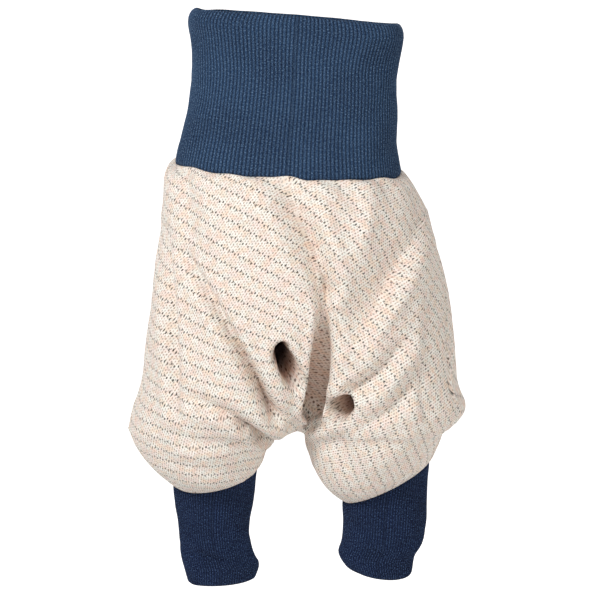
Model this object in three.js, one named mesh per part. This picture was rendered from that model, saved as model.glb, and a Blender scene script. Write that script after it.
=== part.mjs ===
// Baby harem pants with a tall ribbed waistband and long ribbed leg cuffs, in millimetres.
// +X is the viewer's right, -Y the front, +Z up. The origin is the middle of the waistband where
// it grips the waist. The pants keep the filled-out shape that they have when worn. The tables
// measure X from the line between the two legs, and WAIST_SHIFT brings the waist to the origin.
import * as THREE from "three";

// Cloth walls and the gaps at the seams.
const BODY_WALL = 1.8;
const RIB_WALL = 2.3;
const SEAM_GAP = 0.3;
const RIB_DRAW_BACK = 0.35;

const WAIST_SHIFT = 3.9;

// Rib knit: how far apart the ribs stand and how far they rise from the wall.
const RIB_PITCH = 2.6;
const RIB_RELIEF = 0.5;
const RIBS_PER_INNER_FACET = 2;

// Mesh columns across half of each panel, from the middle or inseam to the side seam.
const FRONT_COLUMNS = 15;
const BACK_COLUMNS = 12;

// Above 1, mesh columns stand closer together near the middle, where the folds are narrow.
const CROWDING = 1.25;
const CURVE_SAMPLES = 240;

// A table's rows as objects with its named columns.
const table = (columns, rows) => {
  const names = columns.split(" ");
  return rows.map((row) => Object.fromEntries(names.map((name, k) => [name, row[k]])));
};

// Waistband rings from the top edge down. left and right are the ends in X, front and back in Y,
// lean and pitch are the rise of the ring per mm towards +X and +Y, and square is the power of the
// rounded-rectangle outline (2 is an ellipse).
const WAISTBAND = table("z left right front back lean pitch square steps", [
  [46, -77, 74, -54, 56, -0.08, 0.05, 3, 1],
  [35, -82, 77, -57, 59, -0.075, 0.04, 3, 1],
  [4, -79.3, 71.6, -54, 55, -0.066, 0.01, 2.9, 1],
  [-40, -85.8, 71.8, -57, 58, -0.058, 0.05, 2.75, 1],
  [-65, -92.5, 74.8, -62, 63, -0.052, 0.11, 2.6, 1],
]);

// Body rings from the waist seam to the crotch. middle is the X of the line between the two legs,
// cleft grows from 0, one round ring, to 1, two rings that touch. leftSeam and rightSeam say how
// much of each half ring the front panel covers. steps is the number of mesh rows to the next ring.
const TORSO = table("z left right middle front back cleft lean pitch square leftSeam rightSeam steps", [
  [-65, -92.5, 74.8, -7, -62, 63, 0, -0.052, 0.11, 2.6, 0.53, 0.5, 1],
  [-70, -98.5, 81, -6.5, -66.5, 68, 0.01, -0.052, 0.105, 2.5, 0.54, 0.5, 1],
  [-77, -101, 86, -5, -69, 71, 0.02, -0.05, 0.09, 2.5, 0.54, 0.5, 2],
  [-91, -102.3, 94, -1, -72, 75, 0.04, -0.045, 0.06, 2.45, 0.545, 0.5, 2],
  [-107, -103.2, 98, 4, -74, 79, 0.07, -0.038, 0.03, 2.4, 0.55, 0.495, 5],
  [-145, -108, 109, 13, -77, 84, 0.2, -0.02, 0, 2.3, 0.56, 0.43, 7],
  [-190, -115, 114.8, 15, -78, 87, 0.4, 0, 0, 2.25, 0.56, 0.37, 5],
  [-226, -119, 118, 10, -75, 85, 0.64, 0, 0, 2.2, 0.56, 0.36, 3],
  [-247, -126.5, 124.5, 6, -71, 81, 0.85, 0, 0, 2.2, 0.56, 0.38, 2],
  [-260.5, -129.5, 114, 3, -67, 77, 1, 0, 0, 2.15, 0.55, 0.41, 1],
]);

// Leg rings from just under the crotch to the seam with the cuff. outer and inner are the ends in
// X, lean and pitch the rise of the ring per mm towards +X and +Y, and seam the front panel's share.
const LEFT_LEG = table("z outer inner front back lean pitch square seam steps", [
  [-265.5, -129, -13, -63, 73, -0.02, 0, 2.1, 0.55, 1],
  [-272, -125.5, -22, -61, 71, 0, 0.03, 2.1, 0.54, 1],
  [-279, -119, -24.5, -56, 66, 0.05, 0.1, 2.1, 0.53, 1],
  [-286, -111, -26.5, -48, 58, 0.09, 0.17, 2.1, 0.53, 1],
  [-292, -102.5, -29, -38, 46, 0.14, 0.24, 2.05, 0.52, 1],
  [-298, -95.5, -32, -26, 32, 0.19, 0.3, 2, 0.52, 1],
]);
const RIGHT_LEG = table("z outer inner front back lean pitch square seam steps", [
  [-265.5, 110.5, 6.5, -63, 73, 0.067, 0, 2.1, 0.43, 1],
  [-273, 108, 6.3, -60, 70, 0.13, 0.02, 2.1, 0.44, 1],
  [-281, 106.5, 8.5, -56, 65, 0.2, 0.04, 2.1, 0.45, 1],
  [-289, 104.5, 14.5, -49, 58, 0.29, 0.07, 2.1, 0.46, 1],
  [-297, 101.5, 24, -39, 46, 0.39, 0.1, 2.05, 0.47, 1],
  [-302.8, 98.5, 33, -26, 32, 0.49, 0.12, 2, 0.48, 1],
]);

// Cuff rings from the seam with the leg down to the open end. left and right are the ends in X.
const LEFT_CUFF = table("z left right front back lean pitch square steps", [
  [-298, -95.5, -32, -26, 32, 0.19, 0.3, 2, 1],
  [-315, -94.8, -35, -24, 29, 0.1, 0.1, 2, 1],
  [-341, -92, -38.5, -22, 26, 0.05, 0, 2, 1],
  [-362, -89, -34.5, -22, 25, 0.03, -0.05, 2.1, 1],
  [-369, -87, -31.5, -24, 26, 0.05, -0.05, 2.2, 1],
  [-380, -84.5, -35, -24, 26, 0.05, -0.04, 2.3, 1],
]);
const RIGHT_CUFF = table("z left right front back lean pitch square steps", [
  [-302.8, 33, 98.5, -26, 32, 0.49, 0.12, 2, 1],
  [-322, 33, 95.3, -24, 29, 0.28, 0.1, 2, 1],
  [-349, 31, 93.8, -22, 26, 0.05, 0.1, 2.05, 1],
  [-359, 29.3, 87, -22, 25, -0.05, 0.12, 2.1, 1],
  [-370.5, 36, 84, -23, 25, -0.12, 0.16, 2.2, 1],
]);

// Folds in the body cloth, as seen from the front (face -1) or the back (face 1). Each runs through
// three points in X and Z. depth1 to depth3 are how far it sinks there (less than 0 for a raised
// fold), and near and far are its widths to the left and to the right of its line.
const FOLDS = table("name face x1 z1 x2 z2 x3 z3 depth1 depth2 depth3 near far", [
  ["left side", -1, -104, -129, -101, -178, -97, -235, 1, 5, 2, 9, 8],
  ["left hip", -1, -89, -68, -86, -85, -83, -106, 2, 2, 0, 7, 8],
  ["left long", -1, -86, -127, -51, -190, -17, -247, 1, 4, 8, 10, 8],
  ["left low", -1, -94, -217, -57, -244, -25, -266, 0, 3, 8, 8, 8],
  ["left hem", -1, -112, -250, -94, -272, -58, -286, 0, 3, 0, 9, 9],
  ["centre top", -1, -21, -79, -3, -111, 15, -149, 2, 6, 7, 13, 8],
  ["centre low", -1, 15, -149, 13, -193, 2, -252, 7, 10, 8, 8, 7],
  ["centre branch", -1, 3, -70, 9, -84, 14, -100, 2, 3, 0, 7, 7],
  ["right edge", -1, 42, -78, 44, -108, 38, -146, -1, -2, 0, 9, 9],
  ["right broad", -1, 61, -76, 67, -112, 58, -156, 3, 6, 2, 16, 18],
  ["right crest", -1, 95, -125, 67, -160, 38, -196, 0, -3, -1, 13, 13],
  ["right upper", -1, 34, -226, 56, -212, 72, -190, 6, 5, 1, 9, 9],
  ["right lower", -1, 34, -254, 57, -243, 80, -226, 2, 4, 3, 10, 9],
  ["right flank", -1, 90, -188, 85, -214, 76, -236, 1, 3, 1, 9, 9],
  ["back centre", 1, 4, -92, -10, -165, 2, -250, 0, 6, 8, 11, 12],
  ["back right long", 1, 84, -120, 58, -186, 20, -246, 0, 5, 7, 12, 12],
  ["back left long", 1, -92, -135, -62, -190, -18, -240, 0, 6, 6, 12, 12],
  ["back right low", 1, 96, -222, 66, -244, 30, -262, 0, 4, 5, 10, 11],
  ["back left low", 1, -104, -230, -74, -250, -34, -266, 0, 4, 4, 10, 10],
  ["back broad", 1, -44, -84, -40, -120, -28, -160, 2, 4, 1, 15, 15],
]);

// Deep pockets of shadow where two folds part, as ellipses on the front: middle, half length, half
// width, turn of the long axis from upright towards +X in degrees, and depth.
const POCKETS = table("name x z long wide turn depth", [
  ["left pocket", -11, -208, 19, 9, -32, 12],
  ["right pocket", 30, -233, 13, 11, 60, 11],
]);

const COLOURS = { body: 0xefe0d3, rib: 0x22304f };

const smooth = (low, high, value) => {
  const share = Math.min(1, Math.max(0, (value - low) / (high - low)));
  return share * share * (3 - 2 * share);
};

// A table's column at a fractional row, on a curve that never overshoots between two rows.
function rowValue(table, column, row) {
  const last = table.length - 1;
  const i = Math.min(Math.floor(row), last - 1);
  const f = row - i;
  const at = (k) => table[k][column];
  const slope = (k) => {
    if (k === 0) return at(1) - at(0);
    if (k === last) return at(last) - at(last - 1);
    const before = at(k) - at(k - 1);
    const after = at(k + 1) - at(k);
    return before * after > 0 ? (2 * before * after) / (before + after) : 0;
  };
  const bend = f * f * (3 - 2 * f);
  const rise = f * (1 - f) * ((1 - f) * slope(i) - f * slope(i + 1));
  return at(i) + (at(i + 1) - at(i)) * bend + rise;
}

// The fractional rows of a table at which the mesh has a ring.
function meshRows(table) {
  const rows = [];
  for (let i = 0; i < table.length - 1; i++) {
    for (let k = 0; k < table[i].steps; k++) rows.push(i + k / table[i].steps);
  }
  return [...rows, table.length - 1];
}

const power = (value, exponent) => Math.sign(value) * Math.abs(value) ** exponent;

// A curve given by points, as a function from 0 to 1 along its length.
function byLength(points) {
  const along = [0];
  for (let i = 1; i < points.length; i++) {
    along.push(along[i - 1] + points[i].distanceTo(points[i - 1]));
  }
  const total = along[along.length - 1];
  const at = (share) => {
    const length = Math.min(1, Math.max(0, share)) * total;
    let i = 1;
    while (i < points.length - 1 && along[i] < length) i++;
    const f = (length - along[i - 1]) / (along[i] - along[i - 1]);
    return points[i - 1].clone().lerp(points[i], f);
  };
  return { at, total };
}

// A closed ring of a tube, from its front middle towards +X and round.
function ring(table, row) {
  const value = (column) => rowValue(table, column, row);
  const cx = (value("left") + value("right")) / 2;
  const cy = (value("front") + value("back")) / 2;
  const a = (value("right") - value("left")) / 2;
  const b = (value("back") - value("front")) / 2;
  const points = [];
  for (let i = 0; i <= CURVE_SAMPLES; i++) {
    const angle = (i / CURVE_SAMPLES) * 2 * Math.PI;
    const x = a * power(Math.sin(angle), 2 / value("square"));
    const y = -b * power(Math.cos(angle), 2 / value("square"));
    const z = value("z") + value("lean") * x + value("pitch") * y;
    points.push(new THREE.Vector3(cx + x, cy + y, z));
  }
  return byLength(points);
}

// The body's half ring on one side (-1 left, 1 right), from the front middle or inseam, round the
// side and back to the back middle or inseam. Rows above the crotch come from TORSO.
const CROTCH_ROW = TORSO.length - 1;
const legTable = (side) => (side < 0 ? LEFT_LEG : RIGHT_LEG);

function sideTable(side) {
  const torso = TORSO.map((r) => {
    const reach = side * ((side < 0 ? r.left : r.right) - r.middle);
    const a = reach / (1 + r.cleft);
    const cx = r.middle + side * r.cleft * a;
    const seam = side < 0 ? r.leftSeam : r.rightSeam;
    return { ...r, cx, a, seam, pivot: (r.left + r.right) / 2 };
  });
  const leg = legTable(side).map((r) => {
    const cx = (r.outer + r.inner) / 2;
    return { ...r, cx, a: Math.abs(r.outer - r.inner) / 2, cleft: 1, pivot: cx };
  });
  return [...torso, ...leg];
}
const SIDES = [-1, 1].map((side) => ({ side, table: sideTable(side) }));

function halfRing({ side, table }, row) {
  const value = (column) => rowValue(table, column, row);
  const square = value("square");
  const cy = (value("front") + value("back")) / 2;
  const b = (value("back") - value("front")) / 2;
  const start = Math.acos(Math.min(1, value("cleft")) ** (square / 2));
  const points = [];
  for (let i = 0; i <= CURVE_SAMPLES; i++) {
    const angle = start + (i / CURVE_SAMPLES) * 2 * (Math.PI - start);
    const x = value("cx") - side * value("a") * power(Math.cos(angle), 2 / square);
    const y = -b * power(Math.sin(angle), 2 / square);
    const z = value("z") + value("lean") * (x - value("pivot")) + value("pitch") * y;
    points.push(new THREE.Vector3(x, cy + y, z));
  }
  return { ...byLength(points), seam: value("seam") };
}

// How far a fold moves the cloth outwards at a point of the front or back view.
function foldRise(fold, x, z) {
  const STEPS = 24;
  let nearest = { gap: Infinity };
  for (let k = 0; k <= STEPS; k++) {
    const s = k / STEPS;
    const w = [(1 - s) * (1 - 2 * s), 4 * s * (1 - s), s * (2 * s - 1)];
    const px = w[0] * fold.x1 + w[1] * fold.x2 + w[2] * fold.x3;
    const pz = w[0] * fold.z1 + w[1] * fold.z2 + w[2] * fold.z3;
    const gap = Math.hypot(x - px, z - pz);
    if (gap < nearest.gap) nearest = { gap, s, dx: x - px, w };
  }
  const width = nearest.dx < 0 ? fold.near : fold.far;
  const depth = fold.depth1 * nearest.w[0] + fold.depth2 * nearest.w[1] + fold.depth3 * nearest.w[2];
  const trough = Math.exp(-((nearest.gap / width) ** 2));
  const shoulder = 0.2 * Math.exp(-(((nearest.gap - 2 * width) / width) ** 2));
  return depth * (shoulder - trough);
}

function pocketRise(pocket, x, z) {
  const turn = THREE.MathUtils.degToRad(pocket.turn);
  const along = (x - pocket.x) * Math.sin(turn) + (z - pocket.z) * Math.cos(turn);
  const across = (x - pocket.x) * Math.cos(turn) - (z - pocket.z) * Math.sin(turn);
  return -pocket.depth * (1 - smooth(0.3, 1.1, Math.hypot(along / pocket.long, across / pocket.wide)));
}

// The whole body as one welded grid of points, so that the panels that are cut from it share their
// normals at the seams. Columns run from the front middle (0) past the side seam to the back middle.
const COLUMNS = FRONT_COLUMNS + BACK_COLUMNS;
const ROWS = meshRows(SIDES[0].table);
const CROTCH_RING = ROWS.indexOf(CROTCH_ROW);

function bodyGrid() {
  const points = [];
  const index = SIDES.map(() => ROWS.map(() => []));
  SIDES.forEach((half, s) => {
    ROWS.forEach((row, j) => {
      const curve = halfRing(half, row);
      for (let i = 0; i <= COLUMNS; i++) {
        const ahead = Math.min(1, i / FRONT_COLUMNS) ** CROWDING;
        const behind = Math.min(1, (COLUMNS - i) / BACK_COLUMNS) ** CROWDING;
        const share = i < FRONT_COLUMNS ? curve.seam * ahead : 1 - (1 - curve.seam) * behind;
        const closing = j >= CROTCH_RING && i === COLUMNS;
        const shared = s === 1 && j <= CROTCH_RING && (i === 0 || i === COLUMNS);
        if (closing) index[s][j][i] = index[s][j][0];
        else if (shared) index[s][j][i] = index[0][j][i];
        else index[s][j][i] = points.push(curve.at(share)) - 1;
      }
    });
  });
  return { points, index };
}

// The faces of columns first to last on both sides, as triangles that face outwards.
function gridFaces({ points, index }, first, last) {
  const faces = [];
  SIDES.forEach(({ side }, s) => {
    for (let j = 0; j < ROWS.length - 1; j++) {
      for (let i = first; i < last; i++) {
        const corners = [[j, i], [j + 1, i], [j + 1, i + 1], [j, i + 1]];
        const [p, q, r, t] = corners.map(([row, column]) => index[s][row][column]);
        const split = points[p].distanceTo(points[r]) < points[q].distanceTo(points[t]);
        const pair = split ? [[p, q, r], [p, r, t]] : [[q, r, t], [q, t, p]];
        for (const face of pair) {
          const [a, b, c] = side > 0 ? face : [face[0], face[2], face[1]];
          if (a !== b && b !== c && c !== a) faces.push([a, b, c]);
        }
      }
    }
  });
  return faces;
}

function normalsOf(points, faces) {
  const normals = points.map(() => new THREE.Vector3());
  const side = new THREE.Vector3();
  for (const [a, b, c] of faces) {
    side.subVectors(points[b], points[a]).cross(points[c].clone().sub(points[a]));
    for (const k of [a, b, c]) normals[k].add(side);
  }
  return normals.map((n) => n.normalize());
}

// The body's points with the folds and pockets pressed in, and their normals.
function foldedBody() {
  const grid = bodyGrid();
  const faces = gridFaces(grid, 0, COLUMNS);
  const plain = normalsOf(grid.points, faces);
  const edge = new Set(grid.index.flatMap((rows) => [...rows[0], ...rows[ROWS.length - 1]]));
  const points = grid.points.map((point, k) => {
    if (edge.has(k)) return point;
    const onFace = (face) => smooth(-0.2, 0.2, face * plain[k].y);
    let rise = 0;
    for (const fold of FOLDS) rise += foldRise(fold, point.x, point.z) * onFace(fold.face);
    for (const pocket of POCKETS) rise += pocketRise(pocket, point.x, point.z) * onFace(-1);
    return point.clone().addScaledVector(plain[k], rise);
  });
  return { ...grid, points, normals: normalsOf(points, faces) };
}

// A closed solid from an outer surface: its points, moved in along their normals, are the inside.
function thicken(points, normals, faces, wall) {
  const used = [...new Set(faces.flat())];
  const place = new Map(used.map((k, n) => [k, n]));
  const inside = used.map((k) => points[k].clone().addScaledVector(normals[k], -wall));
  const count = used.length;
  const triangles = [];
  const edges = new Set();
  for (const face of faces) {
    const [a, b, c] = face.map((k) => place.get(k));
    triangles.push(a, b, c, c + count, b + count, a + count);
    for (const [from, to] of [[a, b], [b, c], [c, a]]) edges.add(`${from},${to}`);
  }
  for (const edge of edges) {
    const [a, b] = edge.split(",").map(Number);
    if (!edges.has(`${b},${a}`)) triangles.push(b, a, a + count, b, a + count, b + count);
  }
  return solid([...used.map((k) => points[k]), ...inside], triangles);
}

function solid(points, triangles) {
  const geometry = new THREE.BufferGeometry();
  geometry.setAttribute("position", new THREE.Float32BufferAttribute(points.flatMap((p) => p.toArray()), 3));
  geometry.setIndex(triangles);
  return geometry;
}

// A panel is the body's columns first to last, with each edge drawn back by half a seam gap.
function panel(body, first, last) {
  const points = body.points.map((p) => p.clone());
  const faces = gridFaces(body, first, last);
  const pull = (from, towards) => {
    const way = body.points[towards].clone().sub(body.points[from]).normalize();
    points[from].addScaledVector(way, SEAM_GAP / 2);
  };
  const bottom = ROWS.length - 1;
  SIDES.forEach((_, s) => {
    const at = body.index[s];
    for (let j = 0; j < ROWS.length; j++) {
      if (first > 0) pull(at[j][first], at[j][first + 1]);
      if (last < COLUMNS) pull(at[j][last], at[j][last - 1]);
      const inseam = j > CROTCH_RING;
      if (inseam && first === 0) pull(at[j][0], at[j][1]);
      if (inseam && last === COLUMNS) pull(at[j][COLUMNS], at[j][COLUMNS - 1]);
    }
    for (let i = first; i <= last; i++) {
      pull(at[0][i], at[1][i]);
      pull(at[bottom][i], at[bottom - 1][i]);
    }
  });
  points[body.index[0][CROTCH_RING][0]].y += first === 0 ? -SEAM_GAP : SEAM_GAP;
  return thicken(points, body.normals, faces, BODY_WALL);
}

// A tube of rib knit: ribs stand on the outside, and the inside is plain.
function ribTube(table, seamEnd) {
  const rows = meshRows(table);
  const rings = rows.map((row) => ring(table, row));
  const around = Math.max(...rings.map((r) => r.total));
  const facets = Math.round(around / RIB_PITCH / RIBS_PER_INNER_FACET);
  const perFacet = 2 * RIBS_PER_INNER_FACET;
  const columns = facets * perFacet;
  const wallPoint = (j, share, offset) => {
    const step = 0.5 / columns;
    const here = rings[j].at(share);
    const along = rings[j].at((share + step) % 1).sub(rings[j].at((share - step + 1) % 1));
    const above = rings[Math.max(0, j - 1)].at(share);
    const below = rings[Math.min(rows.length - 1, j + 1)].at(share);
    const out = along.cross(above.sub(below)).normalize();
    return here.addScaledVector(out, offset);
  };
  const points = [];
  const outer = rows.map((_, j) => {
    const base = points.length;
    for (let i = 0; i < columns; i++) points.push(wallPoint(j, i / columns, i % 2 ? 0 : -RIB_RELIEF));
    return base;
  });
  const inner = rows.map((_, j) => {
    const base = points.length;
    for (let i = 0; i < facets; i++) points.push(wallPoint(j, i / facets, -RIB_WALL));
    return base;
  });
  // The end at the seam is drawn back from the body.
  const bottom = rows.length - 1;
  const [near, next] = seamEnd === "bottom" ? [bottom, bottom - 1] : [0, 1];
  for (const [base, count] of [[outer, columns], [inner, facets]]) {
    for (let i = 0; i < count; i++) {
      const share = i / count;
      const way = rings[next].at(share).sub(rings[near].at(share)).normalize();
      points[base[near] + i].addScaledVector(way, RIB_DRAW_BACK);
    }
  }
  const triangles = [];
  for (let j = 0; j < rows.length - 1; j++) {
    for (let i = 0; i < columns; i++) {
      const [a, b] = [i, (i + 1) % columns];
      const [p, q, r, t] = [outer[j] + a, outer[j + 1] + a, outer[j + 1] + b, outer[j] + b];
      triangles.push(p, q, r, p, r, t);
    }
    for (let i = 0; i < facets; i++) {
      const [a, b] = [i, (i + 1) % facets];
      const [p, q, r, t] = [inner[j] + a, inner[j + 1] + a, inner[j + 1] + b, inner[j] + b];
      triangles.push(p, r, q, p, t, r);
    }
  }
  for (const [j, turned] of [[0, false], [rows.length - 1, true]]) {
    const add = (a, b, c) => (turned ? triangles.push(a, c, b) : triangles.push(a, b, c));
    for (let i = 0; i < facets; i++) {
      const [here, next] = [inner[j] + i, inner[j] + ((i + 1) % facets)];
      for (let k = 0; k < perFacet; k++) {
        const column = i * perFacet + k;
        add(outer[j] + column, outer[j] + ((column + 1) % columns), k < RIBS_PER_INNER_FACET ? here : next);
      }
      add(here, outer[j] + i * perFacet + RIBS_PER_INNER_FACET, next);
    }
  }
  return solid(points, triangles);
}

const jersey = new THREE.MeshStandardMaterial({ color: COLOURS.body, roughness: 0.95, metalness: 0 });
const rib = new THREE.MeshStandardMaterial({ color: COLOURS.rib, roughness: 0.9, metalness: 0 });

function named(name, geometry, material) {
  const mesh = new THREE.Mesh(geometry, material);
  mesh.name = name;
  return mesh;
}

const body = foldedBody();
const pants = new THREE.Group();
pants.position.x = WAIST_SHIFT;
pants.add(
  named("waistband", ribTube(WAISTBAND, "bottom"), rib),
  named("front_panel", panel(body, 0, FRONT_COLUMNS), jersey),
  named("back_panel", panel(body, FRONT_COLUMNS, COLUMNS), jersey),
  named("left_cuff", ribTube(LEFT_CUFF, "top"), rib),
  named("right_cuff", ribTube(RIGHT_CUFF, "top"), rib),
);

export default pants;
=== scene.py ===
"""Baby harem pants: a cream jacquard body, a tall navy rib waistband and navy rib cuffs, filled
out as worn. The tables are in millimetres, with X to the viewer's right, the front at -Y and the
waist at Z 0."""

import math

import bpy
import numpy as np
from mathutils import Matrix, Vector


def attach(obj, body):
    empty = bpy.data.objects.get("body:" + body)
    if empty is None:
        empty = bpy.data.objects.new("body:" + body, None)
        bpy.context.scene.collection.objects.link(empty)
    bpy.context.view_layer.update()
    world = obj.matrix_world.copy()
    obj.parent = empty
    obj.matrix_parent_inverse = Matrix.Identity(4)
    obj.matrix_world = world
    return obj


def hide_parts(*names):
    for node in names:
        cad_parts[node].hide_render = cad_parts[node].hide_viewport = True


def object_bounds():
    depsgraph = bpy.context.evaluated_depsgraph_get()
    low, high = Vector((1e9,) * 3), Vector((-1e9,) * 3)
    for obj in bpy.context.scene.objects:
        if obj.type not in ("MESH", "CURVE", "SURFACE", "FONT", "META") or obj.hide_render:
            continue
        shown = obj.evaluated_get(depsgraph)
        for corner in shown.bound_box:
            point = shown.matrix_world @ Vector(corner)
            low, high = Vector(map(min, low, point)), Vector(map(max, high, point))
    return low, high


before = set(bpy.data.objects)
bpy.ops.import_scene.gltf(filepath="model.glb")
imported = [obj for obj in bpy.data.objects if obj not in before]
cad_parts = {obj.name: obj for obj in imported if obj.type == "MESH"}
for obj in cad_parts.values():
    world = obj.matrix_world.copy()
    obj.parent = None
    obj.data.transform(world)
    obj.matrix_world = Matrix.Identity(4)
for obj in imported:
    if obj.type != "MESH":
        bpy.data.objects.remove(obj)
CAD_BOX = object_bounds()

MM = 0.001
WAIST_SHIFT = 3.9

# Cloth walls.
BODY_WALL = 1.3
RIB_WALL = 2.2

# Fine mesh: the distance between rings and the columns across half of a panel.
ROW_SPACING = 1.45
FRONT_COLUMNS = 92
BACK_COLUMNS = 72
CROWDING = 1.12
CURVE_SAMPLES = 480


def table(columns, rows):
    """Rows as dictionaries with named columns."""
    names = columns.split()
    return [dict(zip(names, row)) for row in rows]


# Waistband rings from the top edge down. left and right are the ends in X, front and back in Y,
# lean and pitch are the rise of the ring per mm towards +X and +Y, and square is the power of the
# rounded-rectangle outline (2 is an ellipse).
WAISTBAND = table("z left right front back lean pitch square", [
    (45.4, -75.6, 71.8, -54, 56, -0.076, 0.05, 3),
    (43.8, -78.2, 74.4, -54.5, 56.5, -0.078, 0.05, 3),
    (40.5, -80.8, 76.2, -55.6, 57.6, -0.077, 0.046, 3),
    (35, -82, 77, -57, 59, -0.075, 0.04, 3),
    (4, -79.3, 71.6, -54, 55, -0.066, 0.01, 2.9),
    (-40, -85.8, 71.8, -57, 58, -0.058, 0.05, 2.75),
    (-65, -92.5, 74.8, -62, 63, -0.052, 0.11, 2.6),
])

# Body rings from the waist seam to the crotch. middle is the X of the line between the two legs,
# cleft grows from 0, one round ring, to 1, two rings that touch. leftSeam and rightSeam say how
# much of each half ring the front panel covers.
TORSO = table("z left right middle front back cleft lean pitch square leftSeam rightSeam", [
    (-65, -92.5, 74.8, -7, -62, 63, 0, -0.052, 0.11, 2.6, 0.53, 0.5),
    (-70, -98.5, 81, -6.5, -66.5, 68, 0.01, -0.052, 0.105, 2.5, 0.54, 0.5),
    (-77, -101, 86, -5, -69, 71, 0.02, -0.05, 0.09, 2.5, 0.54, 0.5),
    (-91, -102.3, 94, -1, -72, 75, 0.04, -0.045, 0.06, 2.45, 0.545, 0.5),
    (-107, -103.2, 98, 4, -74, 79, 0.07, -0.038, 0.03, 2.4, 0.55, 0.495),
    (-145, -108, 109, 13, -77, 84, 0.2, -0.02, 0, 2.3, 0.56, 0.43),
    (-190, -115, 114.8, 15, -78, 87, 0.4, 0, 0, 2.25, 0.56, 0.37),
    (-226, -119, 118, 10, -75, 85, 0.64, 0, 0, 2.2, 0.56, 0.36),
    (-247, -126.5, 124.5, 6, -71, 81, 0.85, 0, 0, 2.2, 0.56, 0.38),
    (-260.5, -129.5, 114, 3, -67, 77, 1, 0, 0, 2.15, 0.55, 0.41),
])

# Leg rings from just under the crotch to the seam with the cuff.
LEFT_LEG = table("z outer inner front back lean pitch square seam", [
    (-265.5, -129, -13, -63, 73, -0.02, 0, 2.1, 0.55),
    (-272, -125.5, -22, -61, 71, 0, 0.03, 2.1, 0.54),
    (-279, -119, -24.5, -56, 66, 0.05, 0.1, 2.1, 0.53),
    (-286, -111, -26.5, -48, 58, 0.09, 0.17, 2.1, 0.53),
    (-292, -102.5, -29, -38, 46, 0.14, 0.24, 2.05, 0.52),
    (-298, -95.5, -32, -26, 32, 0.19, 0.3, 2, 0.52),
])
RIGHT_LEG = table("z outer inner front back lean pitch square seam", [
    (-265.5, 110.5, 6.5, -63, 73, 0.067, 0, 2.1, 0.43),
    (-273, 108, 6.3, -60, 70, 0.13, 0.02, 2.1, 0.44),
    (-281, 106.5, 8.5, -56, 65, 0.2, 0.04, 2.1, 0.45),
    (-289, 104.5, 14.5, -49, 58, 0.29, 0.07, 2.1, 0.46),
    (-297, 101.5, 24, -39, 46, 0.39, 0.1, 2.05, 0.47),
    (-302.8, 98.5, 33, -26, 32, 0.49, 0.12, 2, 0.48),
])

# Cuff rings from the seam with the leg down to the open end.
LEFT_CUFF = table("z left right front back lean pitch square", [
    (-298, -95.5, -32, -26, 32, 0.19, 0.3, 2),
    (-315, -94.8, -35, -24, 29, 0.1, 0.1, 2),
    (-341, -92, -38.5, -22, 26, 0.05, 0, 2),
    (-362, -89, -34.5, -22, 25, 0.03, -0.05, 2.1),
    (-369, -87, -31.5, -24, 26, 0.05, -0.05, 2.2),
    (-380, -84.5, -35, -24, 26, 0.05, -0.04, 2.3),
])
RIGHT_CUFF = table("z left right front back lean pitch square", [
    (-302.8, 33, 98.5, -26, 32, 0.49, 0.12, 2),
    (-322, 33, 95.3, -24, 29, 0.28, 0.1, 2),
    (-349, 31, 93.8, -22, 26, 0.05, 0.1, 2.05),
    (-359, 29.3, 87, -22, 25, -0.05, 0.12, 2.1),
    (-370.5, 36, 84, -23, 25, -0.12, 0.16, 2.2),
])

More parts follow.
